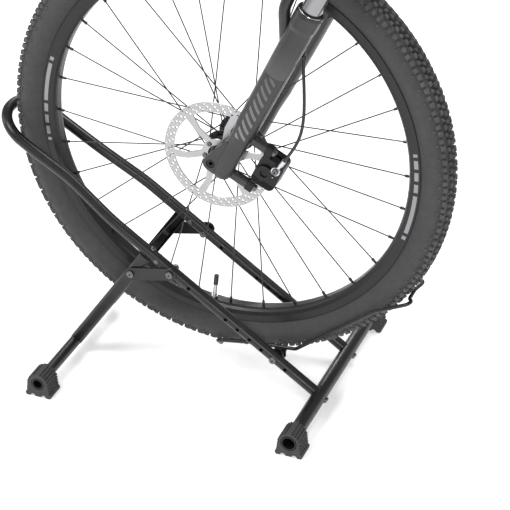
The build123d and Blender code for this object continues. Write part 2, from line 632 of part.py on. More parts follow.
def hose_ends():
    """Banjo and its bolt on the caliper, clips on the leg and the in-line connector."""
    route = [Vector(*p) for p in hose_route()]
    face_y = ROTOR_Y - 18 - 0.1
    eye_at = Vector(EYE_X, face_y - 3.5, EYE_Z)
    banjo = across(EYE_X, EYE_Z, face_y - 7, face_y, 7.0, 3.05)
    reach = eye_at - route[0]
    neck = Plane(origin=route[0], z_dir=reach)
    banjo += neck * (tube(4.0, 0, 11) + tube(3.0, 0, reach.length - 5))
    banjo -= across(EYE_X, EYE_Z, face_y - 7, face_y, 3.05)
    bolt = along_y(pan_screw(6.0, 10.5, 4.0, 16.0), EYE_X, face_y - 7, EYE_Z)
    plug = Plane(origin=route[-1], z_dir=route[-1] - route[-2])
    connector = plug * (tube(4.2, 0, 16) + Pos(0, 0, 3) * hexagon(10, 7) + tube(2.6, 0, 21))
    clips = []
    for a, b in (route[5:7], route[7:9]):
        mid = (a + b) / 2
        away = Vector(mid.X - LEG_OFFSET, mid.Y + LEG_Y, 0)
        ring = Plane(origin=mid, z_dir=b - a) * Pos(0, 0, -3.5) * tube(HOSE_D / 2 + 1.6, HOSE_D / 2 + 0.15, 7)
        turn = Pos(LEG_OFFSET, -LEG_Y, mid.Z) * Rot(0, 0, degrees(atan2(away.Y, away.X)))
        leg_r = STANCHION_D / 2 + 4.2
        stalk = Box(away.length - HOSE_D / 2 - 0.8 - leg_r, 6, 6, align=(Align.MIN, Align.CENTER, Align.CENTER))
        clips.append(ring + turn * Pos(leg_r, 0, 0) * stalk)
    return banjo, bolt, connector, clips


# ---- stand: rails, hoop and floor tubes -----------------------------------------------
def rail(side):
    y = side * RAIL_Y
    length = RAIL_LEN - JOINT_S
    body = on_rail(y) * Pos(JOINT_S, 0, 0) * Rot(0, 90, 0) * tube(RAIL_D / 2, RAIL_D / 2 - RAIL_WALL, length)
    body -= across(BASE_X, BASE_Z, -BASE_LEN, BASE_LEN, BASE_D / 2 + 0.05)
    low = across(BASE_X + 40, BASE_Z - 30, -BASE_LEN, BASE_LEN, 40)
    body = (body - low).solids().sort_by(SortBy.VOLUME)[-1]
    for s in (0.0, SPARE_HOLE_S) + CRADLE_HOLES:
        x, z = rail_point(s)
        body -= across(x, z, -BASE_LEN, BASE_LEN, HOLE_D / 2)
    x, z = rail_point(JOINT_S + 9)
    return body - across(x, z, -BASE_LEN, BASE_LEN, 2.6)


def hoop():
    """Round-ended tube that goes round the front of the tyre."""
    pts = [(JOINT_S, RAIL_Y, 0), (HOOP_WIDE_S, RAIL_Y, 0), (HOOP_NARROW_S, HOOP_HALF, 0),
           (HOOP_S + 74, HOOP_HALF, -HOOP_DROP), (HOOP_S, HOOP_HALF, -HOOP_DROP)]
    line = pts + [(s, -y, n) for s, y, n in reversed(pts)]
    path = FilletPolyline(*line, radius=[300, 300, 400, HOOP_BEND_R, HOOP_BEND_R, 400, 300, 300])
    start = Plane(origin=path @ 0, z_dir=path % 0)
    ring = Circle(RAIL_D / 2) - Circle(RAIL_D / 2 - RAIL_WALL)
    body = sweep(start * ring, path=path)
    for y in (-RAIL_Y, RAIL_Y):
        body -= Pos(JOINT_S - 8, y, 0) * tube(2.6, 0, 12)
    return on_rail() * body


def joint_sleeves():
    """Short plugs inside the tubes where hoop and rail meet, with screw and rivet."""
    sleeves, screws, rivets = [], [], []
    r = RAIL_D / 2 - RAIL_WALL
    for side in (-1, 1):
        frame = on_rail(side * RAIL_Y)
        plug = Pos(JOINT_S - 18, 0, 0) * Rot(0, 90, 0) * tube(r - 0.35, r - 2.2, 36)
        plug -= Pos(JOINT_S - 8, 0, 0) * tube(2.05, 0, 12)
        plug -= Pos(JOINT_S + 9, 20, 0) * Rot(90, 0, 0) * tube(2.05, 0, 40)
        sleeves.append(frame * plug)
        screw = Pos(JOINT_S - 8, 0, RAIL_D / 2 + 0.1) * Rot(180, 0, 0) * pan_screw(4.0, 8.6, 3.0, 8.0)
        screws.append(frame * screw)
        for face in (-1, 1):
            rivet = pan_screw(4.0, 7.6, 1.6, 7.0)
            turn = Rot(-90 * face, 0, 0)
            rivets.append(frame * Pos(JOINT_S + 9, -face * (RAIL_D / 2 + 0.05), 0) * turn * rivet)
    return sleeves, screws, rivets


def base_tube():
    body = across(BASE_X, BASE_Z, -BASE_LEN / 2, BASE_LEN / 2, BASE_D / 2, BASE_D / 2 - TUBE_WALL)
    for side in (-1, 1):
        body -= on_rail(side * RAIL_Y) * Pos(RAIL_LEN - 20, 0, 0) * Rot(0, 90, 0) * tube(3.1, 0, 40)
    return body


def base_screws():
    """Screws through the floor tube into threaded plugs in the rail ends."""
    screws, plugs = [], []
    for side in (-1, 1):
        frame = on_rail(side * RAIL_Y)
        seat = RAIL_LEN + BASE_D / 2 + 0.1
        screws.append(frame * Pos(seat, 0, 0) * Rot(0, -90, 0) * pan_screw(BOLT_D, 11.0, 3.4, 48.0))
        plug = tube(RAIL_D / 2 - RAIL_WALL - 0.1, BOLT_D / 2 + 0.05, 18)
        plugs.append(frame * Pos(RAIL_LEN - BASE_D / 2 - 26, 0, 0) * Rot(0, 90, 0) * plug)
    return screws, plugs


def foot_profile():
    """Half outline of the ribbed rubber foot, from the crown down its flank to the sole."""
    half = FOOT_W / 2
    bottom = -FOOT_BORE_H
    rib = ((0.0, 0.0), (0.5, 0.0), (0.5, -1.8), (1.0, -1.8))
    ribs = 4
    outline = []
    for i in range(ribs):
        for part, depth in rib:
            a = radians(84 - (i + part) * 16)
            outline.append(((FOOT_TOP_R + depth) * cos(a), (FOOT_TOP_R + depth) * sin(a)))
    top, low = (18.6, 4.6), (half - 2.2, bottom + 8.5)
    for i in range(ribs):
        for part, depth in rib:
            t = (i + part) / ribs
            outline.append((top[0] + (low[0] - top[0]) * t + depth, top[1] + (low[1] - top[1]) * t))
    return outline + [low, (half, bottom + 5.5), (half - 0.6, bottom + 1.5), (half - 3.5, bottom), (14.5, bottom),
                      (12.5, bottom + 3.6), (9.5, bottom + 4.6), (6.8, bottom + 3.6), (5.2, bottom + 0.6)]


def foot(x, end_y, tube_d):
    """Rubber foot on the end of a floor tube; end_y is its outer face."""
    right = foot_profile()
    left = [(-px, pz) for px, pz in reversed(right)]
    arc = ThreePointArc(left[-1], (0, FOOT_TOP_R), right[0])
    outline = make_face([arc, Polyline(*right, *left)])
    out = 1 if end_y > 0 else -1
    block = Plane((x, end_y, BASE_Z), x_dir=(1, 0, 0), z_dir=(0, -1, 0)) * extrude(outline, out * FOOT_DEPTH)
    inner_y = end_y - out * FOOT_DEPTH
    collar_y = sorted((inner_y, inner_y - out * 3))
    bore_y = sorted((end_y + out, inner_y - out * 6))
    mouth_y = sorted((end_y + out, end_y - out * 3))
    block += across(x, BASE_Z, *collar_y, tube_d / 2 + 3.2)
    block -= across(x, BASE_Z, *bore_y, tube_d / 2 + 0.1)
    return block - across(x, BASE_Z, *mouth_y, tube_d / 2 + 1.6)


# ---- stand: folding front legs --------------------------------------------------------
def strut(side):
    """Channel from the front floor tube to the underside of the rail, open inward."""
    top = -RAIL_D / 2 - GAP
    bx, bz = BAR_PLACE
    foot_n = STRUT_N - hypot(bx - rail_point(STRUT_S, STRUT_N)[0], bz - rail_point(STRUT_S, STRUT_N)[1])
    length = top - foot_n
    outer_y = RAIL_Y + RAIL_D / 2
    channel = Box(STRUT_W, STRUT_DEPTH, length, align=(Align.CENTER, Align.MAX, Align.MIN))
    channel = fillet(channel.edges().filter_by(Axis.Z).group_by(Axis.Y)[-1], 6)
    inside = Box(STRUT_W - 2 * STRUT_T, STRUT_DEPTH, length, align=(Align.CENTER, Align.MAX, Align.MIN))
    inside = fillet(inside.edges().filter_by(Axis.Z).group_by(Axis.Y)[-1], 4.2)
    channel -= Pos(0, -STRUT_T, 0) * inside
    channel = Pos(STRUT_S, outer_y, foot_n) * channel
    body = Pos(PIVOT_X, 0, PIVOT_Z) * Rot(0, RAIL_ANGLE, 0) * channel
    body = body - across(bx, bz, -BAR_LEN, BAR_LEN, BAR_D / 2)
    body = body.solids().sort_by(SortBy.VOLUME)[-1]
    x, z = rail_point(STRUT_S, STRUT_N)
    body -= across(x, z, -BAR_LEN, BAR_LEN, HOLE_D / 2)
    return body if side > 0 else mirror(body, Plane.XZ)


def bar_place():
    """The front floor tube lies where the strut line meets the height of the feet."""
    x, z = rail_point(STRUT_S, STRUT_N)
    drop = (z - BASE_Z) / cos(radians(RAIL_ANGLE))
    return x - drop * sin(radians(RAIL_ANGLE)), BASE_Z


BAR_PLACE = bar_place()


def link(side):
    """Flat link outside the rail, from the fold bolt to the strut bolt."""
    run = hypot(STRUT_S, STRUT_N)
    turn = degrees(atan2(-STRUT_N, STRUT_S))
    face = Pos(run / 2, 0) * SlotCenterToCenter(run, 2 * LINK_R)
    face -= Circle(HOLE_D / 2)
    face -= Pos(run, 0) * Circle(HOLE_D / 2)
    plate = extrude(face, LINK_T)
    body = on_rail(LINK_Y + LINK_T) * Rot(0, turn, 0) * Rot(90, 0, 0) * plate
    return body if side > 0 else mirror(body, Plane.XZ)


def side_bolts(s, n, outer, inner):
    """Bolt along Y from outside the stand inward, with a nut near its inner end, each side."""
    x, z = rail_point(s, n)
    nut_h = 5.0
    screw = pan_screw(BOLT_D, 12.5, 3.6, outer - inner)
    nut = Pos(0, 0, outer - inner - nut_h - 1.5) * hex_nut(BOLT_D, nut_h)
    left = [Pos(x, -outer, z) * Rot(-90, 0, 0) * piece for piece in (screw, nut)]
    return left + [mirror(piece, Plane.XZ) for piece in left]


def strut_spacers(inner):
    """Sleeves that hold the nut of the strut bolt off the web of the channel."""
    x, z = rail_point(STRUT_S, STRUT_N)
    right = across(x, z, inner + 6.6, RAIL_Y + RAIL_D / 2 - STRUT_T - 0.1, 5.5, BOLT_D / 2 + 0.1)
    return [right, mirror(right, Plane.XZ)]


# ---- stand: cradle --------------------------------------------------------------------
def cradle_route():
    """Half of the wire loop, from the middle of its front to the middle of its rear."""
    w = WIRE_Y
    touch = TYRE_R + WIRE_D / 2 + GAP
    front_x, rear_x = -11.0, 309.0
    front_z = -sqrt(touch ** 2 - front_x ** 2)
    rear_z = -sqrt(touch ** 2 - rear_x ** 2)
    return [(front_x, 0, front_z), (front_x, -16, front_z), (-9, -w, -352), (50, -w, -341.5), (129, -w, -335),
            (187, -w, -288), (260, -w, -229.5), (321, -w, -199.5), (rear_x, -14, rear_z), (rear_x, 0, rear_z)]


def cradle_wire():
    points = cradle_route()
    path = FilletPolyline(*points, radius=[8, 9, 60, 14, 60, 60, 8, 10])
    start = Plane(origin=path @ 0, z_dir=path % 0)
    half = sweep(start * Circle(WIRE_D / 2), path=path)
    return half + mirror(half, Plane.XZ)


def cradle_bracket(side):
    """Folded tab that joins the wire to its pivot bolt; the wire lies in its saddle."""
    x, z = rail_point(CRADLE_S)
    inner_y = WIRE_Y + WIRE_D / 2 + 0.1
    low_z = z - 12.0
    ear = across(x, z, BRACKET_Y - BRACKET_T, BRACKET_Y, BRACKET_W / 2)
    drop = Box(BRACKET_W, BRACKET_T, z - low_z, align=(Align.CENTER, Align.MIN, Align.MAX))
    floor_w = BRACKET_Y - inner_y
    floor = Box(BRACKET_W, floor_w, BRACKET_T, align=(Align.CENTER, Align.MIN, Align.MIN))
    a, b = cradle_route()[3:5]
    slope = degrees(atan2(b[2] - a[2], b[0] - a[0]))
    wire_z = a[2] + (x - a[0]) * tan(radians(slope))
    wall = Box(BRACKET_W, BRACKET_T, wire_z - low_z, align=(Align.CENTER, Align.MIN, Align.MIN))
    saddle = Box(BRACKET_W - 1, WIRE_D / 2 + BRACKET_T, 2.0, align=(Align.CENTER, Align.MAX, Align.MAX))
    body = ear + Pos(x, BRACKET_Y - BRACKET_T, z) * drop + Pos(x, inner_y, low_z) * (floor + wall)
    under = Pos(x, inner_y + BRACKET_T / 2, wire_z) * Rot(0, -slope, 0) * Pos(0, 0, -WIRE_D / 2 - 0.1)
    body += under * saddle
    body -= across(x, z, BRACKET_Y - BRACKET_T - 1, BRACKET_Y + 1, HOLE_D / 2)
    return body if side > 0 else mirror(body, Plane.XZ)


# ---- the whole object -----------------------------------------------------------------
def build_wheel():
    add("tyre", tyre())
    add("inner_tube", inner_tube())
    add("rim", rim())
    for name, flange_y, turn in (("left", LEFT_FLANGE_Y, 0), ("right", RIGHT_FLANGE_Y, 360 / SPOKES)):
        add(name + "_spokes", ring_of_spokes(spoke, flange_y, turn))
        add("nipples", ring_of_spokes(nipple, flange_y, turn))
    add("hub_shell", hub_shell())
    bearings, caps, sleeve = hub_inside()
    add("hub_bearings", bearings)
    add("hub_end_caps", caps)
    add("hub_sleeve", sleeve)
    add("rotor", rotor())
    add("rotor_bolts", rotor_bolts())
    stem, nut, cap = valve()
    add("valve", stem, nut)
    add("valve_cap", cap)


def turned(thing):
    """Pieces drawn in fork directions, leaned back with the fork."""
    return [on_fork() * piece for piece in as_list(thing)]


def build_fork():
    add("fork_lowers", turned(fork_lowers()))
    bushings, seals, bolts, shafts = fork_small()
    add("fork_bushings", turned(bushings))
    add("fork_seals", turned(seals))
    add("foot_bolts", turned(bolts))
    add("fork_shafts", turned(shafts))
    add("thru_axle", turned(thru_axle()))
    pieces, heads = stanchions()
    add("stanchions", turned(pieces))
    add("seal_heads", turned(heads))
    add("crown", turned(crown()))
    add("steerer", turned(steerer()))
    add("crown_race", turned(crown_race()))
    air, base, knob = top_caps()
    add("stanchion_caps", turned([air, base]))
    add("compression_knob", turned(knob))


def build_brake():
    add("caliper", turned(caliper()))
    banjo, banjo_bolt, connector, clips = hose_ends()
    add("brake_bolts", turned(caliper_bolts() + [banjo_bolt]))
    add("pad_pin", turned(pad_pin()))
    for name, side in (("outer", -1), ("inner", 1)):
        pad, piston = pad_and_piston(side)
        add(name + "_pad", turned(pad))
        add(name + "_piston", turned(piston))
    add("hose_banjo", turned(banjo))
    add("hose_connector", turned(connector))
    add("hose_clips", turned(clips))
    add("brake_hose", turned(brake_hose()))


def build_stand():
    add("base_tube", base_tube())
    add("hoop", hoop())
    sleeves, screws, rivets = joint_sleeves()
    base_screw, plugs = base_screws()
    add("tube_plugs", sleeves, plugs)
    add("joint_screws", screws, rivets)
    add("base_screws", base_screw)
    rail_out, rail_in = RAIL_Y + RAIL_D / 2, RAIL_Y - RAIL_D / 2
    link_out = LINK_Y + LINK_T
    add("fold_bolts", side_bolts(0, 0, link_out + GAP, rail_in - 6.9))
    add("cradle_bolts", side_bolts(CRADLE_S, 0, rail_out + 0.1, BRACKET_Y - BRACKET_T - 6.9))
    add("strut_bolts", side_bolts(STRUT_S, STRUT_N, link_out + 0.1, rail_in - 1), strut_spacers(rail_in - 1))
    add("front_bar", across(*BAR_PLACE, -BAR_LEN / 2, BAR_LEN / 2, BAR_D / 2, BAR_D / 2 - TUBE_WALL))
    for name, side in SIDES.items():
        add(name + "_rail", rail(side))
        add(name + "_rear_foot", foot(BASE_X, side * BASE_LEN / 2, BASE_D))
        add(name + "_strut", strut(side))
        add(name + "_link", link(side))
        add(name + "_front_foot", foot(BAR_PLACE[0], side * BAR_LEN / 2, BAR_D))
        add(name + "_cradle_bracket", cradle_bracket(side))
    add("cradle_wire", cradle_wire())


def main():
    build_wheel()
    build_fork()
    build_brake()
    build_stand()
    os.makedirs("parts", exist_ok=True)
    for name, solids in NODES.items():
        shape = solids[0] if len(solids) == 1 else Compound(solids)
        export_step(shape, "parts/" + name + ".step")
    print("nodes", len(NODES), "wheel axle at x", round(ROW.position.X, 3))


main()
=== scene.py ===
import json
from math import atan2, cos, pi, radians, sin

import bmesh
import bpy
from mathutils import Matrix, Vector


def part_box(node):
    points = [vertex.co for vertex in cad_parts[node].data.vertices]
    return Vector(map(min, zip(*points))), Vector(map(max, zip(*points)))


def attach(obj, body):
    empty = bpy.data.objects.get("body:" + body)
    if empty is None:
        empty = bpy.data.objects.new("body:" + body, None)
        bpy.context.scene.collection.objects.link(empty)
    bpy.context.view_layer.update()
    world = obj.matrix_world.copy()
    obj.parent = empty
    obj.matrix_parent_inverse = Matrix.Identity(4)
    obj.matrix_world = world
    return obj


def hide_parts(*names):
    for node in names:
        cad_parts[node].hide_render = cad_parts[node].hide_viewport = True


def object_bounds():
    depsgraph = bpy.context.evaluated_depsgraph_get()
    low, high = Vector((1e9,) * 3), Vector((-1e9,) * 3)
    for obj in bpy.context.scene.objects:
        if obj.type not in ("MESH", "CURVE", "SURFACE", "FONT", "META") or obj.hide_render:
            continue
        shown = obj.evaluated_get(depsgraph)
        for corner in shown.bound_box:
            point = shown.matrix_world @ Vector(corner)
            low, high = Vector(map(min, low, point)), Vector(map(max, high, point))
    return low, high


# Bicycle front end in a folding floor stand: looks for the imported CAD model.
# Everything is in metres in the row frame: +X to the rear, +Y to the right side, +Z up.

MM = 0.001

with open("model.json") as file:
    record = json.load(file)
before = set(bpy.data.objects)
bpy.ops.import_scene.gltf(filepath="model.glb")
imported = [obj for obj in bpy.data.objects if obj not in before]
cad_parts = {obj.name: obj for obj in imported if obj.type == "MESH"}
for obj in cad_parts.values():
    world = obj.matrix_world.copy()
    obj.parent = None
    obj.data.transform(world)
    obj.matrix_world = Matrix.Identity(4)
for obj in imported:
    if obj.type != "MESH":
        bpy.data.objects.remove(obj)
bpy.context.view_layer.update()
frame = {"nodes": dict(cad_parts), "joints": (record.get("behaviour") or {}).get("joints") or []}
joints = {joint["name"]: joint for joint in frame["joints"]}
AXLE = Vector(joints["wheel_spin"]["pos_m"])
FORK_UP = -Vector(joints["fork_travel"]["axis"]).normalized()
FORK_BACK = Vector((0, 1, 0)).cross(FORK_UP).normalized()
TYRE_LOW, TYRE_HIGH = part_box("tyre")
TYRE_R = (TYRE_HIGH.z - TYRE_LOW.z) / 2
TYRE_HALF = (TYRE_HIGH.y - TYRE_LOW.y) / 2
RIM_R = (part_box("rim")[1].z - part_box("rim")[0].z) / 2
RIM_HALF = (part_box("rim")[1].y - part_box("rim")[0].y) / 2
LEG_BACK = 20.6 * MM       # leg axis behind the wheel axle, square to the fork
LEG_SIDE = 66.0 * MM       # leg axis from the wheel plane
SEAL_UP = 318.2 * MM       # groove of the wiper seals, up the fork

CAMERA_LENS = 135.6        # mm, on a sensor 36 mm wide
CAMERA_SENSOR = 36.0
CAMERA_FROM_AXLE = Vector((1.02875, -2.43429, 1.43069))
CAMERA_AZIMUTH, CAMERA_ELEVATION = 22.048, 31.802
FLOOR_HALF = 12.0
FLOOR_DROP = 0.2 * MM      # floor under the feet, so that the faces don't share a plane
FLOOR_GLOW = 0.42
WORLD_LIGHT = 0.32
# Name, place, size and power of each lamp; they all aim at the axle.
LAMPS = (
    ("key_light", (-1.3, -1.5, 3.0), (0.8, 1.6), 60),
    ("front_light", (1.6, -3.2, 1.5), (0.9, 1.2), 34),
    ("top_light", (0.9, 0.9, 3.2), (1.8, 0.6), 46),
    ("side_light", (-3.4, -0.5, 1.4), (0.35, 1.8), 16),
    ("back_light", (-1.2, 2.8, 1.6), (0.8, 1.2), 22),
)


def fork_point(back, y, up):
    """Point given in fork directions from the wheel axle, in the row frame."""
    return AXLE + FORK_BACK * back + Vector((0, y, 0)) + FORK_UP * up


# ---- camera, floor and light -----------------------------------------------------------
def look_from(azimuth, elevation):
    """Direction from the object to the camera; azimuth 0 is the -Y side."""
    a, e = radians(azimuth), radians(elevation)
    return Vector((sin(a) * cos(e), -cos(a) * cos(e), sin(e)))


def make_camera():
    data = bpy.data.cameras.new("camera")
    data.lens = CAMERA_LENS
    data.sensor_width = CAMERA_SENSOR
    data.clip_end = 50.0
    camera = bpy.data.objects.new("camera", data)
    bpy.context.scene.collection.objects.link(camera)
    back = look_from(CAMERA_AZIMUTH, CAMERA_ELEVATION)
    camera.location = AXLE + CAMERA_FROM_AXLE
    camera.rotation_euler = back.to_track_quat("Z", "Y").to_euler()
    bpy.context.scene.camera = camera


def area_light(name, place, size, power):
    data = bpy.data.lights.new(name, "AREA")
    data.shape = "RECTANGLE"
    data.size, data.size_y = size
    data.energy = power
    lamp = bpy.data.objects.new(name, data)
    lamp.location = place
    lamp.rotation_euler = (Vector(place) - AXLE).to_track_quat("Z", "Y").to_euler()
    bpy.context.scene.collection.objects.link(lamp)


def make_floor():
    mesh = bpy.data.meshes.new("floor")
    corners = [(x * FLOOR_HALF, y * FLOOR_HALF, 0) for x, y in ((-1, -1), (1, -1), (1, 1), (-1, 1))]
    mesh.from_pydata(corners, [], [(0, 1, 2, 3)])
    floor = bpy.data.objects.new("floor", mesh)
    bpy.context.scene.collection.objects.link(floor)
    floor.location.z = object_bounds()[0][2] - FLOOR_DROP
    mat = bpy.data.materials.new("floor_white")
    mat.use_nodes = True
    shader = mat.node_tree.nodes["Principled BSDF"]
    shader.inputs["Base Color"].default_value = (0.90, 0.90, 0.90, 1)
    shader.inputs["Roughness"].default_value = 0.9
    shader.inputs["Emission Color"].default_value = (1, 1, 1, 1)
    shader.inputs["Emission Strength"].default_value = FLOOR_GLOW
    mesh.materials.append(mat)


def make_stage():
    make_floor()
    world = bpy.data.worlds.new("studio")
    world.use_nodes = True
    background = world.node_tree.nodes["Background"]
    background.inputs["Color"].default_value = (1.0, 1.0, 1.0, 1)
    background.inputs["Strength"].default_value = WORLD_LIGHT
    bpy.context.scene.world = world
    bpy.context.scene.view_settings.view_transform = "Standard"
    for name, place, size, power in LAMPS:
        area_light(name, place, size, power)


# ---- materials -------------------------------------------------------------------------
class Surface:
    """A Principled material with node helpers for colour, roughness and bump."""

    def __init__(self, name, colour, roughness, metallic=0.0):
        self.material = bpy.data.materials.new(name)
        self.material.use_nodes = True
        self.tree = self.material.node_tree
        self.shader = self.tree.nodes["Principled BSDF"]
        self.colour, self.roughness = colour, roughness
        self.set("Base Color", (*colour, 1))
        self.set("Roughness", roughness)
        self.set("Metallic", metallic)
        self.place = self.add("ShaderNodeTexCoord").outputs["Object"]
        self.normal = None

    def add(self, kind, **values):
        node = self.tree.nodes.new(kind)
        for key, value in values.items():
            setattr(node, key, value)
        return node

    def link(self, source, target):
        self.tree.links.new(source, target)

    def set(self, socket, value):
        self.shader.inputs[socket].default_value = value

    def noise(self, size, detail=4.0, stretch=None, rough=0.55):
        """Noise whose features are about `size` metres across."""
        node = self.add("ShaderNodeTexNoise")
        node.inputs["Scale"].default_value = 1.0 / size
        node.inputs["Detail"].default_value = detail
        node.inputs["Roughness"].default_value = rough
        place = self.place
        if stretch:
            squeeze = self.add("ShaderNodeMapping")
            squeeze.inputs["Scale"].default_value = stretch
            self.link(place, squeeze.inputs["Vector"])
            place = squeeze.outputs["Vector"]
        self.link(place, node.inputs["Vector"])
        return node.outputs["Fac"]

    def ramp(self, factor, low, high, to_low=0.0, to_high=1.0):
        node = self.add("ShaderNodeMapRange")
        node.inputs["From Min"].default_value = low
        node.inputs["From Max"].default_value = high
        node.inputs["To Min"].default_value = to_low
        node.inputs["To Max"].default_value = to_high
        self.link(factor, node.inputs["Value"])
        return node.outputs["Result"]

    def math(self, operation, a, b=None):
        node = self.add("ShaderNodeMath", operation=operation)
        for socket, value in zip(node.inputs, (a, b)):
            if value is None:
                continue
            if isinstance(value, (int, float)):
                socket.default_value = value
            else:
                self.link(value, socket)
        return node.outputs["Value"]

    def tint(self, factor, colour):
        """Mixes another colour in where the factor is high; calls build on each other."""
        mix = self.add("ShaderNodeMix", data_type="RGBA")
        self.link(factor, mix.inputs["Factor"])
        held = self.shader.inputs["Base Color"]
        if held.is_linked:
            self.link(held.links[0].from_socket, mix.inputs[6])
        else:
            mix.inputs[6].default_value = (*self.colour, 1)
        mix.inputs[7].default_value = (*colour, 1)
        self.link(mix.outputs[2], held)

    def vary_roughness(self, factor, low, high):
        self.link(self.ramp(factor, 0.3, 0.7, low, high), self.shader.inputs["Roughness"])

    def bump(self, height, strength, distance):
        node = self.add("ShaderNodeBump")
        node.inputs["Strength"].default_value = strength
        node.inputs["Distance"].default_value = distance
        self.link(height, node.inputs["Height"])
        if self.normal:
            self.link(self.normal, node.inputs["Normal"])
        self.normal = node.outputs["Normal"]
        self.link(self.normal, self.shader.inputs["Normal"])


def powder_coat(name, colour):
    """Black powder coat: faint orange peel, fine grain and a little dust."""
    s = Surface(name, colour, 0.36)
    s.vary_roughness(s.noise(0.02), 0.30, 0.42)
    s.bump(s.noise(0.0035, 2.0), 0.07, 0.0004)
    s.bump(s.noise(0.0006, 1.0), 0.05, 0.0001)
    s.tint(s.ramp(s.noise(0.03, 6.0), 0.60, 0.82, 0.0, 0.18), (0.07, 0.07, 0.07))
    return s.material


def rubber(name, colour, dust, dust_share):
    s = Surface(name, colour, 0.75)
    s.set("Specular IOR Level", 0.35)
    s.tint(s.ramp(s.noise(0.012, 6.0, rough=0.7), 0.42, 0.75, 0.0, dust_share), dust)
    s.vary_roughness(s.noise(0.006), 0.62, 0.88)
    s.bump(s.noise(0.0012, 3.0), 0.25, 0.0003)
    return s.material


def anodised(name, colour, roughness, grain=0.35):
    s = Surface(name, colour, roughness, 0.9)
    s.vary_roughness(s.noise(0.004, 3.0), roughness - 0.06, roughness + 0.08)
    s.bump(s.noise(0.0007, 2.0), grain * 0.3, 0.0001)
    return s.material


def steel(name, colour, roughness, stretch=(1, 1, 1)):
    s = Surface(name, colour, roughness, 1.0)
    streaks = s.noise(0.0012, 3.0, stretch)
    s.vary_roughness(streaks, roughness - 0.08, roughness + 0.12)
    s.bump(streaks, 0.08, 0.0001)
    s.tint(s.ramp(s.noise(0.01, 4.0), 0.55, 0.8, 0.0, 0.3), tuple(c * 0.7 for c in colour))
    return s.material


def plastic(name, colour, roughness):
    s = Surface(name, colour, roughness)
    s.vary_roughness(s.noise(0.005), roughness - 0.06, roughness + 0.08)
    s.bump(s.noise(0.0008, 2.0), 0.12, 0.0001)
    return s.material


def from_axle(s, axis):
    """Distance of the shaded point from the axle's middle, along a direction."""
    apart = s.add("ShaderNodeVectorMath", operation="SUBTRACT")
    s.link(s.place, apart.inputs[0])
    apart.inputs[1].default_value = AXLE
    dot = s.add("ShaderNodeVectorMath", operation="DOT_PRODUCT")
    s.link(apart.outputs["Vector"], dot.inputs[0])
    dot.inputs[1].default_value = axis
    return dot.outputs["Value"]


def about_axle(s, ahead=1):
    """(radius, angle) of the shaded point about the axle; angle 0 is on +X, or on -X if ahead is -1."""
    x, z = from_axle(s, (ahead, 0, 0)), from_axle(s, (0, 0, ahead))
    radius = s.math("SQRT", s.math("ADD", s.math("MULTIPLY", x, x), s.math("MULTIPLY", z, z)))
    return radius, s.math("ARCTAN2", z, x)


def between(s, value, low, high, soft):
    """1 where a value lies between two limits, with soft edges."""
    return s.math("MULTIPLY", s.ramp(value, low - soft, low), s.ramp(value, high, high + soft, 1.0, 0.0))


def brake_disc_steel():
    """Stainless disc: the track is ground in circles, so its grain runs round the axle."""
    s = Surface("disc_steel", (0.42, 0.42, 0.43), 0.34, 1.0)
    rings = s.add("ShaderNodeTexNoise", noise_dimensions="1D")
    rings.inputs["Scale"].default_value = 2500
    s.link(about_axle(s)[0], rings.inputs["W"])
    s.vary_roughness(rings.outputs["Fac"], 0.26, 0.42)
    s.bump(rings.outputs["Fac"], 0.12, 0.0001)
    s.tint(s.ramp(s.noise(0.02, 5.0), 0.5, 0.8, 0.0, 0.35), (0.32, 0.31, 0.30))
    return s.material


# Start and length of each pale dash on the rim, in radians about the axle.
RIM_DASHES = ((-0.33, 0.020), (-0.29, 0.22), (-0.05, 0.045), (0.015, 0.045), (0.08, 0.045), (0.145, 0.015))


def rim_alloy():
    """Dark satin rim with two groups of plain pale dashes, front and rear, on each side wall."""
    s = Surface("rim_alloy", (0.030, 0.030, 0.032), 0.36, 0.6)
    s.vary_roughness(s.noise(0.004, 3.0), 0.30, 0.44)
    s.bump(s.noise(0.0007, 2.0), 0.08, 0.0001)
    side = s.ramp(s.math("ABSOLUTE", from_axle(s, (0, 1, 0))), RIM_HALF - 0.6 * MM, RIM_HALF - 0.3 * MM)
    for ahead in (1, -1):
        radius, angle = about_axle(s, ahead)
        lane = s.math("MULTIPLY", side, between(s, radius, RIM_R - 9.2 * MM, RIM_R - 3.0 * MM, 0.3 * MM))
        for start, length in RIM_DASHES:
            dash = between(s, angle, start, start + length, 0.001)
            s.tint(s.math("MULTIPLY", lane, dash), (0.28, 0.28, 0.29))
    return s.material


def tyre_rubber():
    """Tyre: darker smooth side walls, paler dusty tread, fine moulding texture."""
    s = Surface("tyre_rubber", (0.052, 0.052, 0.054), 0.72)
    s.set("Specular IOR Level", 0.4)
    worn = s.add("ShaderNodeAttribute", attribute_name="tread")
    dusty = s.math("MULTIPLY", worn.outputs["Fac"], s.ramp(s.noise(0.02, 6.0, rough=0.7), 0.35, 0.75))
    s.tint(dusty, (0.125, 0.122, 0.115))
    s.tint(s.ramp(s.noise(0.05, 5.0), 0.5, 0.8, 0.0, 0.3), (0.075, 0.075, 0.076))
    s.vary_roughness(s.noise(0.01), 0.60, 0.85)
    s.bump(s.noise(0.0011, 3.0), 0.22, 0.0003)
    return s.material


LEG_FACE = 72 * MM         # outer side of the legs, from the wheel plane
STRIPES_LOW, STRIPES_HIGH = 72 * MM, 196 * MM      # ends of the stripes, up the fork
STRIPE_PITCH = 14 * MM
STRIPE_SLANT = 0.9         # rise of a stripe for its run across the leg
STRIPES_HALF = 8.5 * MM    # half the width of the striped band
BAND_LOW, BAND_HIGH = 200 * MM, 255 * MM           # fading pale band above the stripes


